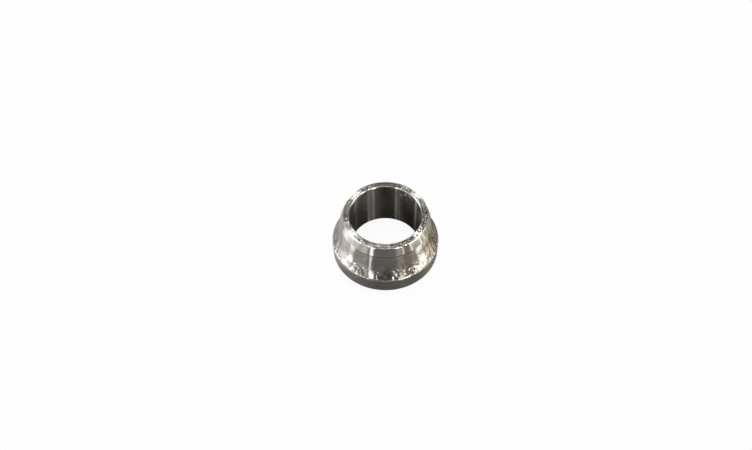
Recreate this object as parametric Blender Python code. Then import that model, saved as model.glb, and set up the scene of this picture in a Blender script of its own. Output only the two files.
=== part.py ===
"""Tube sleeve for a hydraulic face seal fitting, turned from one piece of steel bar.

The sleeve slides over the end of a tube. It stands here on its flange face, nose up, with its
origin on that face at the centre of the bore and its axis along +Z. Its whole form is one
closed section turned about the axis, and every corner of that section is worked out from the
sizes below.
"""

import math

import bmesh
import bpy
from mathutils import Vector

# Sizes in metres, each measured on the finished piece
BORE_DIAMETER = 0.01215     # a 12 mm tube and its brazing clearance
NECK_WALL = 0.001675        # from the bore to the widest edge of the nose
FLANGE_REACH = 0.00150      # how far the flange stands out past that edge
BAND_HEIGHT = 0.00295       # the flange's straight rim
SWEEP_LENGTH = 0.00318      # the hollow between the rim and the neck
NECK_LENGTH = 0.00160       # the neck's straight stretch under the nose
NOSE_LENGTH = 0.00162       # the tapered lead-in at the free end
TIP_RADIUS = 0.00020        # rounding of the nose's outer corner
LIP_WIDTH = 0.00020         # the narrow land where the hollow meets the rim
LIP_RISE = 0.00007          # how much that land climbs towards the axis
RIM_BREAK = 0.00010         # rounding of the rim's upper corner
HEEL_BREAK = 0.00022        # chamfer of the rim's lower corner
BORE_CHAMFER = 0.00025      # edge break where the tube comes out of the nose
MOUTH_CHAMFER = 0.00055     # wider lead-in where the tube goes in

# Angles in degrees, measured from the axis
NOSE_TAPER = 19.0
NECK_TAPER = 6.0

# Steps of the model's curves
TURN_STEPS = 96
SWEEP_STEPS = 10
TIP_STEPS = 3
RIM_STEPS = 2
SHARP_ANGLE = 25.0


def rounded_corner(before, corner, after, radius, steps):
    """Replace a corner of the section by an arc that touches both of its sides."""
    back = (before - corner).normalized()
    ahead = (after - corner).normalized()
    half = back.angle(ahead) / 2
    room = 0.45 * min((before - corner).length, (after - corner).length)
    touch = min(radius / math.tan(half), room)
    bisector = (back + ahead).normalized()
    centre = corner + bisector * touch / math.cos(half)
    first = corner + back * touch - centre
    last = corner + ahead * touch - centre
    swing = first.angle_signed(last)
    return [centre + turned(first, swing * i / steps) for i in range(steps + 1)]


def turned(vector, angle):
    """The vector turned clockwise by an angle, the sense that angle_signed measures."""
    c, s = math.cos(angle), math.sin(angle)
    return Vector((c * vector.x + s * vector.y, c * vector.y - s * vector.x))


def hollow_sweep(top, foot, taper, steps):
    """One arc from top to foot that leaves top at the given taper and flares towards foot."""
    chord = foot - top
    lean = math.atan2(chord.x, -chord.y)
    bend = 2 * (lean - taper)
    radius = chord.length / (2 * math.sin(bend / 2))
    points = []
    for i in range(steps + 1):
        slope = taper + bend * i / steps
        out = radius * (math.cos(taper) - math.cos(slope))
        down = radius * (math.sin(slope) - math.sin(taper))
        points.append(Vector((top.x + out, top.y - down)))
    return points


def sleeve_section():
    """The closed section at +X, as points (radius, height): out over the nose, down the neck,
    the hollow and the rim, in under the flange and up the bore."""
    bore = BORE_DIAMETER / 2
    neck = bore + NECK_WALL
    rim = neck + FLANGE_REACH
    neck_foot_height = BAND_HEIGHT + SWEEP_LENGTH
    shoulder = neck_foot_height + NECK_LENGTH
    length = shoulder + NOSE_LENGTH
    nose_taper = math.radians(NOSE_TAPER)
    neck_taper = math.radians(NECK_TAPER)

    bore_top = Vector((bore + BORE_CHAMFER, length))
    tip_corner = Vector((neck - NOSE_LENGTH * math.tan(nose_taper), length))
    nose_foot = Vector((neck, shoulder))
    neck_foot = Vector((neck + NECK_LENGTH * math.tan(neck_taper), neck_foot_height))
    land = Vector((rim - LIP_WIDTH, BAND_HEIGHT + LIP_RISE))
    rim_corner = Vector((rim, BAND_HEIGHT))
    rim_foot = Vector((rim, HEEL_BREAK))

    section = [bore_top]
    section += rounded_corner(bore_top, tip_corner, nose_foot, TIP_RADIUS, TIP_STEPS)
    section.append(nose_foot)
    section += hollow_sweep(neck_foot, land, neck_taper, SWEEP_STEPS)
    section += rounded_corner(land, rim_corner, rim_foot, RIM_BREAK, RIM_STEPS)
    section += [
        rim_foot,
        Vector((rim - HEEL_BREAK, 0.0)),
        Vector((bore + MOUTH_CHAMFER, 0.0)),
        Vector((bore, MOUTH_CHAMFER)),
        Vector((bore, length - BORE_CHAMFER)),
    ]
    return section


def turned_mesh(name, section):
    """Spin a closed section once about the Z axis into a closed body with its faces outward."""
    work = bmesh.new()
    corners = [work.verts.new((p.x, 0.0, p.y)) for p in section]
    edges = [work.edges.new((a, b)) for a, b in zip(corners, corners[1:] + corners[:1])]
    bmesh.ops.spin(work, geom=corners + edges, axis=(0, 0, 1), cent=(0, 0, 0),
                   angle=math.tau, steps=TURN_STEPS, use_merge=True)
    bmesh.ops.recalc_face_normals(work, faces=work.faces)
    mesh = bpy.data.meshes.new(name)
    work.to_mesh(mesh)
    work.free()
    mesh.shade_smooth()
    mesh.set_sharp_from_angle(angle=math.radians(SHARP_ANGLE))
    return mesh


def turned_steel():
    """Bare grey steel with a fine turned finish."""
    material = bpy.data.materials.new("turned_steel")
    material.use_nodes = True
    shader = material.node_tree.nodes["Principled BSDF"]
    shader.inputs["Base Color"].default_value = (0.36, 0.35, 0.33, 1.0)
    shader.inputs["Metallic"].default_value = 1.0
    shader.inputs["Roughness"].default_value = 0.32
    return material


def build():
    """Clear the scene and add the sleeve."""
    for thing in list(bpy.data.objects):
        bpy.data.objects.remove(thing, do_unlink=True)
    mesh = turned_mesh("sleeve", sleeve_section())
    mesh.materials.append(turned_steel())
    sleeve = bpy.data.objects.new("sleeve", mesh)
    bpy.context.scene.collection.objects.link(sleeve)


build()
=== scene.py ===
import math

import bpy
import numpy as np
from mathutils import Matrix, Vector


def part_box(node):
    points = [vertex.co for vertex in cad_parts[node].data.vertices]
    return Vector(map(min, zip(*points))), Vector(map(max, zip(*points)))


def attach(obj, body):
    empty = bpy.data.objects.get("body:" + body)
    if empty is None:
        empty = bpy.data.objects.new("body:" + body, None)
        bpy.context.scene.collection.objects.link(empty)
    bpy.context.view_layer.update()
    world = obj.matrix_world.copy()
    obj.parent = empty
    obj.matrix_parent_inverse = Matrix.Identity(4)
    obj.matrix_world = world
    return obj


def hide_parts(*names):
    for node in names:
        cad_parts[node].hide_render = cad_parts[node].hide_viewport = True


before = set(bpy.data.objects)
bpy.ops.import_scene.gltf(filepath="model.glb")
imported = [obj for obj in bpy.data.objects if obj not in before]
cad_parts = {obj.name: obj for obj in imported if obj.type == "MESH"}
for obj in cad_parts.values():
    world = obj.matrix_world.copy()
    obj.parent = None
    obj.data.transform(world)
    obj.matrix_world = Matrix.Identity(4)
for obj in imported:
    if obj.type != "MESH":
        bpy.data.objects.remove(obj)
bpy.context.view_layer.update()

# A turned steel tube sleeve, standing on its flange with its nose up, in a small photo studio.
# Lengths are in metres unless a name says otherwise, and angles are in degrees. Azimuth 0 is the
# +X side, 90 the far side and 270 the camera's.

node_low, node_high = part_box("sleeve")

MM = 0.001

# Sizes of the sleeve; the flange's radius and the whole length come from the frame
FLANGE_RADIUS = node_high[0]
LENGTH = node_high[2] - node_low[2]
BORE_RADIUS = 6.075 * MM
NECK_RADIUS = 7.75 * MM
BAND_HEIGHT = 2.95 * MM
NOSE_LENGTH = 1.62 * MM
NECK_LENGTH = 1.60 * MM
NOSE_TAPER = 19.0
NECK_TAPER = 6.0
TIP_RADIUS = 0.13 * MM
UNDERCUT_DEPTH = 0.05 * MM   # the small step under the nose's edge
UNDERCUT_RISE = 0.08 * MM
LIP_WIDTH = 0.20 * MM
LIP_RISE = 0.07 * MM
BORE_CHAMFER = 0.14 * MM
MOUTH_CHAMFER = 0.55 * MM
HEEL_BREAK = 0.22 * MM
SOFT_EDGE = 0.035 * MM       # the small rounding of the cut edges

# Unevenness of the cut surfaces
WAVES = 24                 # how many waves add up to one ripple
WOBBLE_DEPTH = 0.003 * MM
WOBBLE_SIZE = 2.2 * MM
MARK_DEPTH = 0.016 * MM
MARK_SIZE = 0.66 * MM
MARK_STRETCH = 1.2         # how much longer the tool marks are round the axis than along it
MARKS_TOP = 6.0 * MM
MARKS_BOTTOM = 4.1 * MM
CHATTER_DEPTH = 0.0045 * MM
CHATTER_SIZE = 0.34 * MM
# Azimuth and half width of the stretches where the flank has fewer tool marks, of those where
# the face is smoother, and of the one where its chatter is deepest
SMOOTH_SPOTS = ((218, 11), (253, 6), (287, 3), (317, 8), (20, 9), (65, 7), (120, 10), (160, 8))
FACED_SPOTS = ((36, 18), (139, 18), (212, 18), (321, 18))
CHATTER_SPOTS = ((268, 36),)
MARKS_CALMED = 0.9         # the share of the tool marks that a smooth stretch takes away
CHATTER_CALMED = 0.8       # the same for the face's chatter

# Patterns on the steel. Round ones have a number of features per metre, and drawn-out ones say
# how quickly they change round the axis and how many features a metre of the section has.
PATCHES = 0.35 / MM
GRAIN = 5.0 / MM
CLOUDS = 1.7 / MM
FINE_LINES = (1.5, 14.0 / MM)
SLOW_SWELL = (4.0, 1.2 / MM)
DARK_STREAKS = (26.0, 0.18 / MM)

# Marks on the steel: stains, a line of painted shade under the nose's edge, and painted
# highlights in the bore
EDGE_HEIGHT = LENGTH - NOSE_LENGTH       # the nose's lower edge
# Width and colour of the line of painted shade under the nose's edge
UNDERCUT_SHADE_WIDTH = 0.26 * MM
UNDERCUT_SHADE = (0.10, 0.10, 0.11, 1)
STAIN = (0.16, 0.13, 0.10, 1)
# Pale colour of the painted highlight streaks and of the smudges in the bore
BORE_GLINT_AND_SMUDGE = (0.70, 0.69, 0.73, 1)
# Azimuth, half width and strength of the painted highlight streaks and the pale smudges in the
# bore, and of the dark runs down the flank
BORE_GLINT_STREAKS = ((118.5, 2.0, 0.85), (112, 4.5, 0.30), (109, 2.0, 0.28), (71, 1.8, 0.70),
                (66, 3.5, 0.28), (147, 4.0, 0.45), (140, 1.2, 0.30), (29, 3.0, 0.90),
                (98, 4.0, 0.10), (60, 1.0, 0.20), (220, 3.0, 0.30), (300, 2.0, 0.40))
BORE_SMUDGES = ((54, 11, 1.0), (41, 2, 0.6))
SMUDGES_TOP = LENGTH - 1.6 * MM
SMUDGES_BOTTOM = LENGTH - 2.8 * MM
FLANK_RUNS = ((196, 10, 0.8), (350, 16, 0.85), (80, 14, 0.5), (140, 10, 0.5))

# Grid of the turned surface: points round the axis, rows of a rounded edge, and how far apart
# the other rows lie
AROUND = 640
ARC_ROWS = 3
ROW_STEPS = {
    "face": 0.07 * MM, "edge": 0.20 * MM, "nose": 0.20 * MM, "flank": 0.10 * MM,
    "rim": 0.25 * MM, "base": 0.50 * MM, "bore": 0.60 * MM,
}

# Camera, as the photograph was taken
PICTURE_WIDTH = 752
CAMERA_DISTANCE_PX = 704.0       # in pixels of the photograph at the nose's face
CAMERA_ELEVATION = 52.43
CAMERA_ROLL = -0.84
NOSE_CENTRE_PX = (9.45, 10.71)   # right of and above the picture's centre
PIXEL = 0.16785 * MM             # one pixel at the nose's face
SENSOR_MM = 36.0
NEAR_CLIP = 1.0 * MM

# Studio
FLOOR_SIZE = 2.0
PAPER_GLOW = 0.93                # the share of plain white in the floor
ROOM_LIGHT = (0.40, 0.40, 0.40, 1)
BACKDROP = (0.98, 0.98, 0.98, 1)
TENT_RADIUS = 0.30
TENT_LIFT = 0.02 * MM
TENT_EYE = 5.0 * MM              # the height from which the tent's elevations are measured
TENT_TURNS = 72
TENT_ROWS = 25
DARKEST = (0.02, 0.02, 0.02)     # what the metal sees where no window is


# Section of the sleeve


def arc_points(centre, start, swing, rows):
    """Points on a circle: the start vector from the centre is turned in equal steps up to the
    swing, so point k is centre + start turned by swing * k / rows."""
    angle = np.linspace(0.0, swing, rows + 1)
    c, s = np.cos(angle), np.sin(angle)
    x = centre[0] + c * start[0] - s * start[1]
    y = centre[1] + s * start[0] + c * start[1]
    return np.stack([x, y], axis=1)


def corner_arc(before, corner, after, radius, rows=ARC_ROWS):
    """A corner rounded by an arc that touches both sides. The touching points lie
    radius / tan(half the corner's angle) from the corner, and the centre on its bisector."""
    back = (before - corner) / np.linalg.norm(before - corner)
    ahead = (after - corner) / np.linalg.norm(after - corner)
    half = math.acos(float(np.clip(back @ ahead, -1.0, 1.0))) / 2
    touch = radius / math.tan(half)
    bisector = (back + ahead) / np.linalg.norm(back + ahead)
    centre = corner + bisector * touch / math.cos(half)
    first, last = corner + back * touch - centre, corner + ahead * touch - centre
    swing = math.atan2(first[0] * last[1] - first[1] * last[0], first @ last)
    return arc_points(centre, first, swing, rows)


def sweep_arc(top, foot, taper):
    """The hollow: one arc from top to foot that leaves top at the taper from the axis. The chord's
    own lean is halfway between the slopes at its two ends, which gives the arc's bend, and the
    radius is the chord divided by twice the sine of half that bend."""
    chord = foot - top
    bend = 2 * (math.atan2(chord[0], -chord[1]) - taper)
    radius = np.linalg.norm(chord) / (2 * math.sin(bend / 2))
    start = -radius * np.array([math.cos(taper), math.sin(taper)])
    return arc_points(top - start, start, bend, int(radius * bend / ROW_STEPS["flank"]))


def straight(start, end, step):
    """Evenly spaced points strictly between two points of the section."""
    count = max(1, int(np.linalg.norm(end - start) / step))
    share = np.arange(1, count)[:, None] / count
    return start + (end - start) * share


def sleeve_section():
    """The closed section (radius, height) and the zone of each row: out over the nose, down the
    flank and the rim, in under the flange and up the bore."""
    tip = NECK_RADIUS - NOSE_LENGTH * math.tan(math.radians(NOSE_TAPER))
    shoulder = LENGTH - NOSE_LENGTH
    spread = NECK_LENGTH * math.tan(math.radians(NECK_TAPER))
    bore_top = np.array([BORE_RADIUS + BORE_CHAMFER, LENGTH])
    tip_corner = np.array([tip, LENGTH])
    neck = np.array([NECK_RADIUS, shoulder])
    undercut = np.array([NECK_RADIUS - UNDERCUT_DEPTH, shoulder - UNDERCUT_RISE])
    neck_foot = np.array([NECK_RADIUS + spread, shoulder - NECK_LENGTH])
    land = np.array([FLANGE_RADIUS - LIP_WIDTH, BAND_HEIGHT + LIP_RISE])
    rim_top = np.array([FLANGE_RADIUS, BAND_HEIGHT])
    rim_foot = np.array([FLANGE_RADIUS, HEEL_BREAK])
    heel = np.array([FLANGE_RADIUS - HEEL_BREAK, 0.0])
    mouth = np.array([BORE_RADIUS + MOUTH_CHAMFER, 0.0])
    throat = np.array([BORE_RADIUS, MOUTH_CHAMFER])
    bore_end = np.array([BORE_RADIUS, LENGTH - BORE_CHAMFER])

    sweep = sweep_arc(neck_foot, land, math.radians(NECK_TAPER))
    rounded_tip = corner_arc(bore_top, tip_corner, neck, TIP_RADIUS)
    pieces = [
        ("edge", corner_arc(bore_end, bore_top, tip_corner, SOFT_EDGE)),
        ("face", rounded_tip[:1]),
        ("edge", rounded_tip[1:]),
        ("nose", corner_arc(tip_corner, neck, undercut, 0.5 * SOFT_EDGE)),
        ("flank", corner_arc(neck, undercut, neck_foot, SOFT_EDGE)),
        ("flank", sweep[:-2]),
        ("flank", corner_arc(sweep[-2], land, rim_top, 0.5 * SOFT_EDGE)),
        ("edge", corner_arc(land, rim_top, rim_foot, 1.5 * SOFT_EDGE)),
        ("rim", corner_arc(rim_top, rim_foot, heel, SOFT_EDGE)),
        ("rim", corner_arc(rim_foot, heel, mouth, SOFT_EDGE)),
        ("base", corner_arc(heel, mouth, throat, SOFT_EDGE)),
        ("edge", corner_arc(mouth, throat, bore_end, SOFT_EDGE)),
        ("bore", corner_arc(throat, bore_end, bore_top, SOFT_EDGE)),
    ]
    rows, zones = [], []
    for k, (zone, points) in enumerate(pieces):
        last = pieces[k - 1][1][-1]
        between = straight(last, points[0], ROW_STEPS[zone])
        rows += [between, points]
        zones += [zone] * (len(between) + len(points))
    return np.concatenate(rows), zones


def closed_steps(section):
    """The length of each step along a closed section, the last one back to its first point."""
    return np.linalg.norm(np.diff(section, axis=0, append=section[:1]), axis=1)


section, zones = sleeve_section()
SECTION_LENGTH = float(closed_steps(section).sum())


# Surface of the sleeve


def ripple(points, size, seed):
    """An uneven height for every point: the sum of WAVES cosines of place . wave + phase, each
    wave with a direction of its own and a length near size, scaled to a spread of about 1."""
    dice = np.random.default_rng(seed)
    height = np.zeros(points.shape[:-1])
    for _ in range(WAVES):
        wave = dice.normal(size=3)
        wave *= math.tau / (size * dice.uniform(0.7, 1.6) * np.linalg.norm(wave))
        height += np.cos(points @ wave + dice.uniform(0.0, math.tau))
    return height * math.sqrt(2.0 / WAVES)


def ramp(value, start, end):
    """0 before start, 1 after end, and between them the smooth step 3 t^2 - 2 t^3."""
    t = np.clip((value - start) / (end - start), 0.0, 1.0)
    return t * t * (3.0 - 2.0 * t)


def near_spots(points, spots, inner, outer):
    """1 near the azimuth of any of the spots and 0 far from all of them. The change runs from
    the inner to the outer share of the spot's half width."""
    azimuth = np.degrees(np.arctan2(points[..., 1], points[..., 0]))
    near = np.zeros(azimuth.shape)
    for spot, half in spots:
        aside = np.abs((azimuth - spot + 180.0) % 360.0 - 180.0)
        near = np.maximum(near, 1.0 - ramp(aside, inner * half, outer * half))
    return near


def surface_relief(points, zones):
    """How far each point sinks below the true form: a slight wobble everywhere, a rough band of
    tool marks low on the flank with smooth stretches in it, and chatter on the face, deeper and
    calmer by turns. Each is a depth times 1 + ripple, and their sum never rises above the true
    form."""
    height = points[..., 2]
    zone = np.array(zones)[:, None]
    marks = ramp(height, MARKS_TOP, MARKS_BOTTOM) * (zone == "flank")
    marks *= 1.0 - MARKS_CALMED * near_spots(points, SMOOTH_SPOTS, 0.5, 1.2)
    deeper = near_spots(points, CHATTER_SPOTS, 0.5, 1.0)
    calmer = CHATTER_CALMED * near_spots(points, FACED_SPOTS, 0.6, 1.0)
    chatter = (1.0 + deeper - calmer) * (zone == "face")
    open_wall = 1.0 * np.isin(zone, ["face", "nose", "flank", "rim"])
    wobble = WOBBLE_DEPTH * open_wall * (1.0 + ripple(points, WOBBLE_SIZE, seed=1))
    squeezed = points * (1.0, 1.0, MARK_STRETCH)
    tool = MARK_DEPTH * marks * (1.0 + ripple(squeezed, MARK_SIZE, seed=2))
    shiver = CHATTER_DEPTH * chatter * (1.0 + ripple(points, CHATTER_SIZE, seed=3))
    return np.maximum(wobble + tool + shiver, 0.0)


def turned_surface(name, section, zones, finishes):
    """The section carried once round the axis: the point of row s at angle a lies at
    (radius(s) cos a, radius(s) sin a, height(s)), less the relief along the section's outward
    normal. The rows and the angles both close on themselves. A strip of faces between two rows
    has the finish of the zone that it ends in, and the UV map holds the angle's share of a turn
    and the share of the section's length."""
    rows = len(section)
    angle = np.arange(AROUND) * math.tau / AROUND
    radius, height = section[:, :1], section[:, 1:]
    level = height + 0 * angle
    points = np.stack([radius * np.cos(angle), radius * np.sin(angle), level], axis=-1)
    run = np.roll(section, -1, axis=0) - np.roll(section, 1, axis=0)
    run /= np.linalg.norm(run, axis=1, keepdims=True)
    out, lift = -run[:, 1:], run[:, :1]
    normal = np.stack([out * np.cos(angle), out * np.sin(angle), lift + 0 * angle], axis=-1)
    points -= normal * surface_relief(points, zones)[..., None]
    row = np.arange(rows)[:, None]
    turn = np.arange(AROUND)[None, :]
    below, beside = (row + 1) % rows, (turn + 1) % AROUND
    corners = [(row, turn), (below, turn), (below, beside), (row, beside)]
    faces = np.stack([a * AROUND + b for a, b in corners], axis=-1).reshape(-1, 4)

    mesh = bpy.data.meshes.new(name)
    mesh.vertices.add(rows * AROUND)
    mesh.vertices.foreach_set("co", points.ravel())
    mesh.loops.add(faces.size)
    mesh.loops.foreach_set("vertex_index", faces.ravel())
    mesh.polygons.add(len(faces))
    mesh.polygons.foreach_set("loop_start", np.arange(len(faces)) * 4)
    mesh.update(calc_edges=True)

    steps = closed_steps(section)
    along = np.concatenate([[0.0], np.cumsum(steps)]) / steps.sum()
    share = np.arange(AROUND + 1) / AROUND
    u = np.stack([share[:-1], share[:-1], share[1:], share[1:]], axis=-1)
    v = np.stack([along[:-1], along[1:], along[1:], along[:-1]], axis=-1)
    grid = np.zeros((rows, AROUND, 4, 2))
    grid[..., 0] = u[None]
    grid[..., 1] = v[:, None]
    mesh.uv_layers.new(name="turning").data.foreach_set("uv", grid.ravel())

    order = list(finishes)
    for zone in order:
        mesh.materials.append(finishes[zone])
    index = np.repeat([order.index(zone) for zone in zones[1:] + zones[:1]], AROUND)
    mesh.polygons.foreach_set("material_index", index.astype(np.int32))
    mesh.shade_smooth()
    piece = bpy.data.objects.new(name, mesh)
    bpy.context.scene.collection.objects.link(piece)
    return piece


# Materials


class Value:
    """A number in a shader. Arithmetic with it adds Math nodes to the tree it belongs to."""

    def __init__(self, maker, socket):
        self.maker, self.socket = maker, socket

    def math(self, operation, first, second=0.0):
        """The result of one Math node."""
        node = self.maker.add("ShaderNodeMath", {"operation": operation}, {0: first, 1: second})
        return Value(self.maker, node.outputs[0])

    def __add__(self, other):
        return self.math("ADD", self, other)

    def __sub__(self, other):
        return self.math("SUBTRACT", self, other)

    def __rsub__(self, other):
        return self.math("SUBTRACT", other, self)

    def __mul__(self, other):
        return self.math("MULTIPLY", self, other)

    __radd__ = __add__
    __rmul__ = __mul__

    def power(self, other):
        """This value raised to another."""
        return self.math("POWER", self, other)

    def above(self, low, high):
        """0 up to low, 1 from high, and a straight ramp between them."""
        sockets = {"Value": self, "From Min": low, "From Max": high}
        node = self.maker.add("ShaderNodeMapRange", {"clamp": True}, sockets)
        return Value(self.maker, node.outputs["Result"])

    def within(self, half, soft):
        """1 where this value lies within half of 0, falling to 0 over the soft width."""
        node = self.maker.add("ShaderNodeMapRange", {"interpolation_type": "SMOOTHSTEP"}, {
            "Value": self.math("ABSOLUTE", self), "From Min": half - soft / 2,
            "From Max": half + soft / 2, "To Min": 1.0, "To Max": 0.0,
        })
        return Value(self.maker, node.outputs["Result"])

    def off(self, azimuth):
        """The angle from an azimuth to this one, from -180 to 180 degrees."""
        sockets = {0: self - azimuth, 1: 180.0, 2: -180.0}
        node = self.maker.add("ShaderNodeMath", {"operation": "WRAP"}, sockets)
        return Value(self.maker, node.outputs[0])


class Nodes:
    """The nodes of a material or of the world."""

    def __init__(self, owner):
        owner.use_nodes = True
        self.tree = owner.node_tree

    def feed(self, socket, source):
        """Give a socket a plain value, or link a value or a socket to it."""
        source = source.socket if isinstance(source, Value) else source
        if isinstance(source, bpy.types.NodeSocket):
            self.tree.links.new(source, socket)
        else:
            socket.default_value = source

    def add(self, kind, settings, sockets):
        """Add a node: its settings first, then the value or link of each socket."""
        node = self.tree.nodes.new(kind)
        for name, setting in settings.items():
            setattr(node, name, setting)
        for key, source in sockets.items():
            self.feed(node.inputs[key], source)
        return node

    def number(self, kind, settings, sockets, output=0):
        """Add a node and wrap one of its outputs."""
        return Value(self, self.add(kind, settings, sockets).outputs[output])

    def blend(self, share, first, second):
        """A colour between two others."""
        node = self.add("ShaderNodeMix", {"data_type": "RGBA"}, {0: share, 6: first, 7: second})
        return node.outputs[2]

    def place(self):
        """The x, y and z of a point in the object's own coordinates."""
        point = self.add("ShaderNodeTexCoord", {}, {}).outputs["Object"]
        parts = self.add("ShaderNodeSeparateXYZ", {}, {0: point}).outputs
        return [Value(self, part) for part in parts]

    def seen(self, share):
        """A share for what the camera sees straight, in a mirror or through glass, and 0 for
        the light that falls on things."""
        path = self.add("ShaderNodeLightPath", {}, {}).outputs
        rays = ["Is Camera Ray", "Is Glossy Ray", "Is Transmission Ray"]
        return sum(Value(self, path[ray]) for ray in rays) * share


class Finish(Nodes):
    """One material: its nodes are added with add, and its Principled shader is fed at the end."""

    def __init__(self, name):
        self.material = bpy.data.materials.new(name)
        super().__init__(self.material)
        self.shader = self.tree.nodes["Principled BSDF"]

    def set(self, **sockets):
        """Feed the Principled shader; underscores in a name stand for spaces."""
        for name, source in sockets.items():
            self.feed(self.shader.inputs[name.replace("_", " ")], source)


def section_length(finish):
    """The distance along the section, in metres."""
    uv = finish.add("ShaderNodeUVMap", {"uv_map": "turning"}, {}).outputs[0]
    return finish.number("ShaderNodeSeparateXYZ", {}, {0: uv}, 1) * SECTION_LENGTH


def turning_coordinates(finish, around, across):
    """A point for noise that is drawn out along the cut: the direction from the axis times
    around, and the length along the section times across."""
    place = finish.add("ShaderNodeTexCoord", {}, {}).outputs["Object"]
    flat = finish.add("ShaderNodeVectorMath", {"operation": "MULTIPLY"}, {0: place, 1: (1, 1, 0)})
    unit = finish.add("ShaderNodeVectorMath", {"operation": "NORMALIZE"}, {0: flat.outputs[0]})
    wide = finish.add("ShaderNodeVectorMath", {"operation": "SCALE"},
                      {0: unit.outputs[0], "Scale": around})
    lift = finish.add("ShaderNodeCombineXYZ", {}, {"Z": section_length(finish) * across})
    return finish.add("ShaderNodeVectorMath", {"operation": "ADD"},
                      {0: wide.outputs[0], 1: lift.outputs[0]}).outputs[0]


def noise(finish, vector, scale, detail=3.0, rough=0.5):
    """A noise value from 0 to 1."""
    sockets = {"Vector": vector, "Scale": scale, "Detail": detail, "Roughness": rough}
    return finish.number("ShaderNodeTexNoise", {"noise_dimensions": "3D"}, sockets)


def round_the_axis(finish, places, soft):
    """The sum of places round the axis, each an azimuth, a half width and a strength."""
    x, y, _ = finish.place()
    azimuth = x.math("ARCTAN2", y, x) * (180 / math.pi)
    return sum(azimuth.off(centre).within(half, soft) * share for centre, half, share in places)


def bore_glints_and_smudges(finish, place, height):
    """Where the bore is paler: painted highlights that streak down it, and a few smudges near
    its upper end.
    """
    top = height.above(SMUDGES_BOTTOM, SMUDGES_TOP)
    cloud = noise(finish, place, CLOUDS).above(0.52, 0.62)
    smudges = round_the_axis(finish, BORE_SMUDGES, 6.0) * cloud * top
    return round_the_axis(finish, BORE_GLINT_STREAKS, 1.0) + smudges


def dark_runs(finish):
    """Where dark streaks run down the flank."""
    place = turning_coordinates(finish, *DARK_STREAKS)
    streaks = noise(finish, place, 1.0, detail=3.0, rough=0.6)
    return round_the_axis(finish, FLANK_RUNS, 8.0) * streaks.above(0.47, 0.58)


def turned_steel(name, pale, dark, roughness, drawn, pitch, groove,
                 stain=0.0, marks=(MARKS_TOP, MARKS_BOTTOM), spot=0.9 * MM, undercut_shade=0.0,
                 runs=False, bore_glints=False):
    """Bare steel as the tool left it. Grooves a pitch apart run round the axis, cut a little
    unevenly, over a fine grain; a thin film of oil tints the metal in soft patches between the
    pale and the dark colour, and the roughness changes with both. Dark stains of the size of a
    spot lie where the tool marks are, which set in between two heights, and a dark line under the
    nose's edge is painted shade. The flank has dark runs, and the bore pale streaks that are
    painted highlights. The shine is drawn out across the grooves."""
    finish = Finish(name)
    place = finish.add("ShaderNodeTexCoord", {}, {}).outputs["Object"]
    height = finish.number("ShaderNodeSeparateXYZ", {}, {0: place}, 2)
    lines = noise(finish, turning_coordinates(finish, *FINE_LINES), 1.0, detail=4.0, rough=0.6)
    swell = noise(finish, turning_coordinates(finish, *SLOW_SWELL), 1.0, detail=2.0, rough=0.5)
    patches = noise(finish, place, PATCHES, detail=3.0, rough=0.6)
    grain = noise(finish, place, GRAIN, detail=3.0, rough=0.6)

    turns = section_length(finish) * (math.tau / pitch) + swell * 5.0
    thread = turns.math("SINE", turns) * (0.15 + swell * 0.5)
    tint = patches.above(0.35, 0.65) * 0.6 + lines.above(0.35, 0.65) * 0.4
    bump = finish.add("ShaderNodeBump", {}, {
        "Strength": 1.0, "Distance": groove, "Height": thread + lines * 0.5 + grain * 0.4,
    })
    blotches = noise(finish, place, 1.0 / spot, detail=4.0, rough=0.65)
    stains = blotches.above(0.50, 0.58) * height.above(*marks) * stain
    if runs:
        stains = stains + dark_runs(finish)
    # A thin dark line of painted shade under the nose's edge
    corner = height.above(EDGE_HEIGHT - UNDERCUT_SHADE_WIDTH, EDGE_HEIGHT - 0.5 * UNDERCUT_SHADE_WIDTH)
    line = corner - height.above(EDGE_HEIGHT - 0.3 * UNDERCUT_SHADE_WIDTH, EDGE_HEIGHT + 0.1 * UNDERCUT_SHADE_WIDTH)
    steel = finish.blend(stains, finish.blend(tint, dark, pale), STAIN)
    # Pale streaks of painted highlight down the bore, and its smudges
    if bore_glints:
        steel = finish.blend(bore_glints_and_smudges(finish, place, height), steel, BORE_GLINT_AND_SMUDGE)
    finish.set(
        Base_Color=finish.blend(line * undercut_shade, steel, UNDERCUT_SHADE),
        Metallic=1.0,
        Roughness=roughness + (lines - 0.5) * 0.10 + (patches - 0.5) * 0.14,
        Anisotropic=drawn,
        Anisotropic_Rotation=0.25,
        Normal=bump.outputs[0],
    )
    return finish.material


# The sleeve

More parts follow.
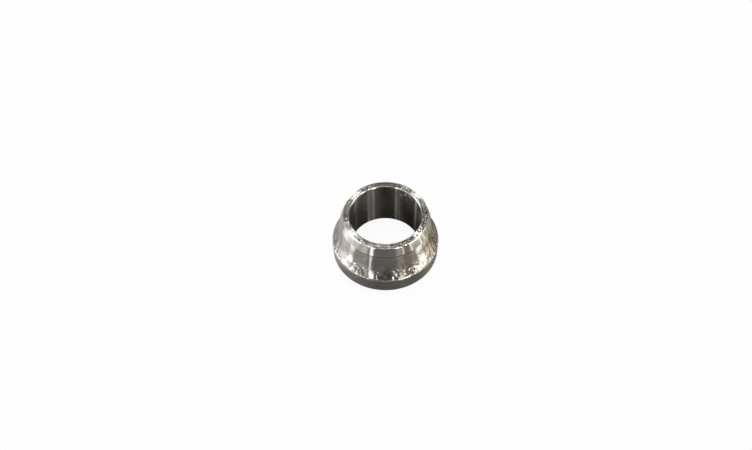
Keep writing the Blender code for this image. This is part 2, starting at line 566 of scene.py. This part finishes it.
finishes = {
    "face": turned_steel("faced_steel", pale=(0.47, 0.46, 0.455, 1), dark=(0.23, 0.22, 0.215, 1),
                         roughness=0.18, drawn=1.00, pitch=0.17 * MM, groove=0.008 * MM,
                         stain=0.9, spot=0.5 * MM, marks=(0.0, LENGTH)),
    "nose": turned_steel("nose_steel", pale=(0.56, 0.55, 0.53, 1), dark=(0.46, 0.45, 0.43, 1),
                         roughness=0.13, drawn=0.80, pitch=0.09 * MM, groove=0.0012 * MM,
                         undercut_shade=0.7),
    "flank": turned_steel("flank_steel", pale=(0.58, 0.575, 0.56, 1),
                          dark=(0.415, 0.395, 0.355, 1), roughness=0.17, drawn=0.75,
                          pitch=0.11 * MM, groove=0.0020 * MM, stain=0.75, spot=1.5 * MM,
                          undercut_shade=0.7, runs=True),
    "rim": turned_steel("rim_steel", pale=(0.42, 0.40, 0.365, 1), dark=(0.29, 0.27, 0.235, 1),
                        roughness=0.31, drawn=0.80, pitch=0.10 * MM, groove=0.0030 * MM),
    "base": turned_steel("base_steel", pale=(0.50, 0.49, 0.47, 1), dark=(0.42, 0.41, 0.39, 1),
                         roughness=0.36, drawn=0.90, pitch=0.15 * MM, groove=0.0060 * MM),
    # The bore's colours are darker than the outer steel's, which paints the shade in the hollow
    "bore": turned_steel("bored_steel_painted_shade", pale=(0.28, 0.265, 0.235, 1),
                         dark=(0.175, 0.162, 0.138, 1), roughness=0.32, drawn=1.00,
                         pitch=0.12 * MM, groove=0.0010 * MM, bore_glints=True),
    "edge": turned_steel("edge_steel", pale=(0.66, 0.65, 0.63, 1), dark=(0.56, 0.55, 0.53, 1),
                         roughness=0.17, drawn=0.50, pitch=0.09 * MM, groove=0.0006 * MM),
}
sleeve = turned_surface("turned_sleeve", section, zones, finishes)
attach(sleeve, "root")
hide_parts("sleeve")


# Floor, lamp and backdrop


def white_paper(glow):
    """Matt white paper. What sees it straight or in a mirror sees a share of plain white in it,
    so that the background is white and still keeps the sleeve's shadow."""
    paper = Finish("white_paper")
    paper.set(Base_Color=(0.96, 0.96, 0.96, 1), Roughness=0.9, Specular_IOR_Level=0.1)
    white = paper.add("ShaderNodeEmission", {}, {"Color": (1, 1, 1, 1), "Strength": 1.0})
    mix = paper.add("ShaderNodeMixShader", {}, {
        0: paper.seen(glow), 1: paper.shader.outputs[0], 2: white.outputs[0],
    })
    paper.feed(paper.tree.nodes["Material Output"].inputs["Surface"], mix.outputs[0])
    return paper.material


def stage_sheet(name, size, material):
    """A square piece of the stage, flat on the ground and centred on the axis."""
    half = size / 2
    corners = [(-half, -half, 0), (half, -half, 0), (half, half, 0), (-half, half, 0)]
    mesh = bpy.data.meshes.new(name)
    mesh.from_pydata(corners, [], [(0, 1, 2, 3)])
    mesh.materials.append(material)
    sheet = bpy.data.objects.new(name, mesh)
    bpy.context.scene.collection.objects.link(sheet)


def softbox(name, azimuth, elevation, distance, size, level):
    """A soft square lamp that faces the sleeve and that no mirror shows. The level is its
    brightness, where 1 is that of plain white."""
    a, e = math.radians(azimuth), math.radians(elevation)
    place = Vector((math.cos(e) * math.cos(a), math.cos(e) * math.sin(a), math.sin(e))) * distance
    light = bpy.data.lights.new(name, "AREA")
    light.shape = "SQUARE"
    light.size = size
    light.energy = level * math.pi * size * size
    holder = bpy.data.objects.new(name, light)
    holder.location = place
    holder.rotation_euler = (-place).to_track_quat("-Z", "Y").to_euler()
    holder.visible_camera = False
    holder.visible_glossy = False
    bpy.context.scene.collection.objects.link(holder)


stage_sheet("floor", FLOOR_SIZE, white_paper(PAPER_GLOW))
softbox("overhead_softbox", azimuth=90, elevation=80, distance=0.5, size=0.5, level=2.1)

bpy.context.scene.world = bpy.data.worlds.new("studio")
room = Nodes(bpy.context.scene.world)
room_colour = room.blend(room.seen(1.0), ROOM_LIGHT, BACKDROP)
room.feed(room.tree.nodes["Background"].inputs["Color"], room_colour)


# The tent: what the metal sees of the room


def tent_surface():
    """A flat disc just above the floor that rises into a dome: the profile runs out along the
    disc and then up a quarter circle, and is carried round the axis."""
    rise = np.linspace(0.0, math.pi / 2, TENT_ROWS)
    disc = TENT_RADIUS * np.array([0.0, 1 / 30, 1 / 6, 1 / 2])
    radius = np.concatenate([disc, TENT_RADIUS * np.cos(rise)])
    height = np.concatenate([0 * disc, TENT_RADIUS * np.sin(rise)]) + TENT_LIFT
    angle = np.arange(TENT_TURNS) * math.tau / TENT_TURNS
    points = np.stack([
        radius[:, None] * np.cos(angle),
        radius[:, None] * np.sin(angle),
        height[:, None] + 0 * angle,
    ], axis=-1).reshape(-1, 3)
    row, turn = np.arange(len(radius) - 1)[:, None], np.arange(TENT_TURNS)[None, :]
    beside = (turn + 1) % TENT_TURNS
    corners = [(row, turn), (row, beside), (row + 1, beside), (row + 1, turn)]
    faces = np.stack([a * TENT_TURNS + b for a, b in corners], axis=-1).reshape(-1, 4)
    mesh = bpy.data.meshes.new("tent")
    mesh.from_pydata(points.tolist(), [], faces.tolist())
    return mesh


class Tent(Finish):
    """The tent's light: a plain shade, and soft-edged windows of light added to it."""

    def __init__(self):
        super().__init__("tent_light")
        x, y, z = self.place()
        self.reach = (x * x + y * y).power(0.5)
        self.azimuth = x.math("ARCTAN2", y, x) * (180 / math.pi)
        self.elevation = x.math("ARCTAN2", z - TENT_EYE, self.reach) * (180 / math.pi)
        self.light = None

    def window(self, azimuth, half_width, low, high, colour, soft, soft_end):
        """Add light round an azimuth, from one elevation to another. The sides fade over the
        soft width and the ends over soft_end."""
        across = self.azimuth.off(azimuth).within(half_width, soft)
        upright = (self.elevation - (low + high) / 2).within((high - low) / 2, soft_end)
        self.pour(across * upright, colour)

    def pour(self, share, colour):
        """Add a colour times a share to the light."""
        glow = self.add("ShaderNodeVectorMath", {"operation": "SCALE"}, {0: colour, "Scale": share})
        if self.light is None:
            self.light = glow.outputs[0]
        else:
            both = self.add("ShaderNodeVectorMath", {"operation": "ADD"},
                            {0: self.light, 1: glow.outputs[0]})
            self.light = both.outputs[0]


# Windows of the tent: azimuth, half width, lowest and highest elevation, colour, and the widths
# over which the sides and the ends fade
TENT_WINDOWS = (
    # the dim room, dark close under the sleeve and in its bore
    (0, 180, -34, -4, (0.12, 0.12, 0.115), 1, 8),
    (0, 180, -4, 90, (0.09, 0.09, 0.085), 1, 8),
    (0, 180, -20, -5, (0.075, 0.075, 0.07), 1, 6),
    # the left window, with a narrower part that comes down to the table and its glow there
    (190, 32, 4, 26, (2.2, 2.2, 2.2), 10, 4),
    (204, 10, -7.0, 4, (3.2, 3.15, 3.3), 4, 3),
    (193, 8, -9, 4, (3.0, 2.95, 3.1), 4, 3),
    (180, 9, -15.5, -10, (0.70, 0.68, 0.72), 5, 3),
    (181, 9, -24, -16, (0.28, 0.27, 0.30), 6, 3),
    (198, 10, -18.4, -13.5, (0.95, 0.94, 1.0), 6, 2),
    (206, 5.5, -17.5, -13, (2.4, 2.4, 2.5), 3, 2),
    (186, 11, -15, -6, (0.40, 0.36, 0.37), 8, 4),
    (182, 2.5, -14, -6, (0.5, 0.46, 0.47), 3, 4),
    # the right window
    (350, 26, 4, 25, (2.2, 2.1, 2.0), 10, 4),
    (336, 13, -7.3, 4, (4.2, 4.05, 3.7), 5, 3),
    (342, 7, -10.8, -8.6, (0.70, 0.66, 0.58), 5, 1.5),
    (334, 8, -17.8, -13.6, (3.2, 3.1, 2.9), 4, 1.5),
    (333, 6, -19.4, -17.6, (1.1, 1.05, 0.95), 4, 1.5),
    (353, 10, -19.8, -15.5, (1.1, 1.0, 0.82), 6, 1.5),
    (343, 1.4, -14, -5, (1.5, 1.3, 1.1), 1.5, 3),
    (352, 1.6, -15, -5, (1.5, 1.3, 1.1), 1.5, 3),
    # two short bright bars high behind, at either side
    (128, 16, 58.9, 61.6, (36.0, 35.6, 35.9), 3, 1),
    (49, 16, 59.6, 62.2, (36.0, 35.6, 35.2), 3, 1),
    # and four narrow upright strips below them
    (76.0, 1.2, 37, 46, (22.0, 21.5, 21.6), 1, 2),
    (71.0, 1.2, 28, 37, (22.0, 21.5, 21.6), 1, 2),
    (101.5, 1.3, 37, 46, (26.0, 25.4, 25.0), 1, 2),
    (107, 1.3, 28, 37, (26.0, 25.4, 25.0), 1, 2),
    # narrow strips in front
    (242.5, 2.8, -12, -3, (1.9, 1.9, 1.95), 1.5, 2),
    (243, 1.7, -21, -12, (1.3, 1.3, 1.35), 1.5, 2),
    (229, 6, -11, -3, (0.30, 0.29, 0.28), 5, 3),
    (244, 4.0, -5, 27, (2.8, 2.8, 2.9), 2, 3),
    (303.5, 1.5, -11, 0, (1.2, 1.0, 0.9), 1.5, 3),
    (297, 6.5, -5, 27, (2.6, 2.5, 2.4), 3, 3),
    (320.5, 1.4, -14, 27, (1.6, 1.4, 1.25), 1.2, 4),
    # high lights in front: those above 45 degrees show in the bore, and those below it on the
    # edge break at the bore's upper end
    (324, 1.5, 48, 62, (90.0, 86.0, 95.0), 1.5, 2),
    (305, 3.5, 48, 62, (18.0, 17.2, 16.0), 3, 2),
    (303, 5.0, 34, 41, (9.0, 8.7, 8.0), 2, 4),
    (335, 5.0, 32, 37, (9.0, 8.7, 8.0), 2, 3),
    (231, 1.5, 48, 62, (36.0, 36.0, 34.0), 1.5, 2),
    (237, 5.0, 34, 41, (2.6, 2.5, 2.4), 2, 4),
    (219, 2.0, 48, 62, (30.0, 30.0, 27.0), 2, 2),
    (270, 24, 50, 63, (2.8, 2.6, 2.05), 10, 3),
    # panes at either side that light the flange's lip
    (150, 6, 42, 50, (2.6, 2.6, 2.6), 3, 2),
    (161, 7, 50, 60, (2.6, 2.6, 2.6), 3, 2),
    (178, 11, 60, 72, (2.6, 2.6, 2.6), 3, 2),
    (345, 14, 67, 78, (2.6, 2.5, 2.3), 3, 2),
    (8, 10, 57, 67, (2.6, 2.5, 2.3), 3, 2),
    (22, 6, 47, 57, (2.6, 2.5, 2.3), 3, 2),
    # a skylight behind, with a faint glow round it
    (90, 12, 66, 76, (3.2, 3.1, 2.9), 6, 3),
    (90, 40, 48, 80, (0.22, 0.21, 0.20), 20, 6),
    # walls at the left, darker towards the table
    (172, 64, -12, 50, (0.42, 0.40, 0.39), 14, 4),
    (166, 46, -26, -12, (0.42, 0.40, 0.39), 14, 4),
    (226, 12, -26, -12, (0.24, 0.235, 0.23), 8, 4),
    (188, 20, -34, -24, (0.26, 0.26, 0.265), 14, 4),
    (200, 60, -34, -24, (0.06, 0.055, 0.055), 20, 6),
    # a brown wall at the right, with paler strips on it
    (2, 44, -18.5, 50, (0.22, 0.195, 0.155), 14, 3),
    (2, 44, -28, -18.5, (0.12, 0.09, 0.05), 14, 3),
    (19, 0.9, -27, -12, (0.55, 0.46, 0.30), 1, 6),
    (12, 1.2, -26, -10, (0.40, 0.33, 0.22), 1, 6),
    (357, 0.9, -24, -6, (0.50, 0.42, 0.28), 1, 6),
    (348, 0.9, -21, -9, (0.55, 0.46, 0.30), 1, 6),
    (4, 2.0, -12, 2, (1.4, 1.2, 0.8), 2, 6),
    # dim walls at the front right and behind
    (295, 6, -22, 50, (0.17, 0.14, 0.11), 4, 6),
    (312, 10, -22, 50, (0.07, 0.06, 0.045), 6, 6),
    (90, 40, 20, 80, (0.08, 0.075, 0.07), 30, 12),
)

tent = Tent()
tent.pour(1.0, DARKEST)
for pane in TENT_WINDOWS:
    tent.window(*pane)
emission = tent.add("ShaderNodeEmission", {}, {"Color": tent.light, "Strength": 1.0})
tent.feed(tent.tree.nodes["Material Output"].inputs["Surface"], emission.outputs[0])
tent_mesh = tent_surface()
tent_mesh.materials.append(tent.material)
tent_shell = bpy.data.objects.new("tent", tent_mesh)
bpy.context.scene.collection.objects.link(tent_shell)
tent_shell.visible_camera = False
tent_shell.visible_diffuse = False
tent_shell.visible_shadow = False


def set_camera():
    """The photograph's camera: it looks down on the nose from the -Y side, and the picture's
    centre stays on its axis."""
    e, roll = math.radians(CAMERA_ELEVATION), math.radians(CAMERA_ROLL)
    ahead = Vector((0.0, math.cos(e), -math.sin(e)))
    level, up = Vector((1.0, 0.0, 0.0)), Vector((0.0, math.sin(e), math.cos(e)))
    right = math.cos(roll) * level + math.sin(roll) * up
    top = -math.sin(roll) * level + math.cos(roll) * up
    shift_right, shift_up = NOSE_CENTRE_PX
    camera = bpy.data.objects.new("camera", bpy.data.cameras.new("camera"))
    place = Vector((0.0, 0.0, LENGTH))
    place += PIXEL * (-shift_right * right - shift_up * top - CAMERA_DISTANCE_PX * ahead)
    axes = Matrix((right, top, -ahead)).transposed()
    camera.matrix_world = Matrix.Translation(place) @ axes.to_4x4()
    camera.data.sensor_width = SENSOR_MM
    camera.data.lens = SENSOR_MM * CAMERA_DISTANCE_PX / PICTURE_WIDTH
    camera.data.clip_start = NEAR_CLIP
    bpy.context.scene.collection.objects.link(camera)
    bpy.context.scene.camera = camera


set_camera()
bpy.context.scene.view_settings.view_transform = "Standard"
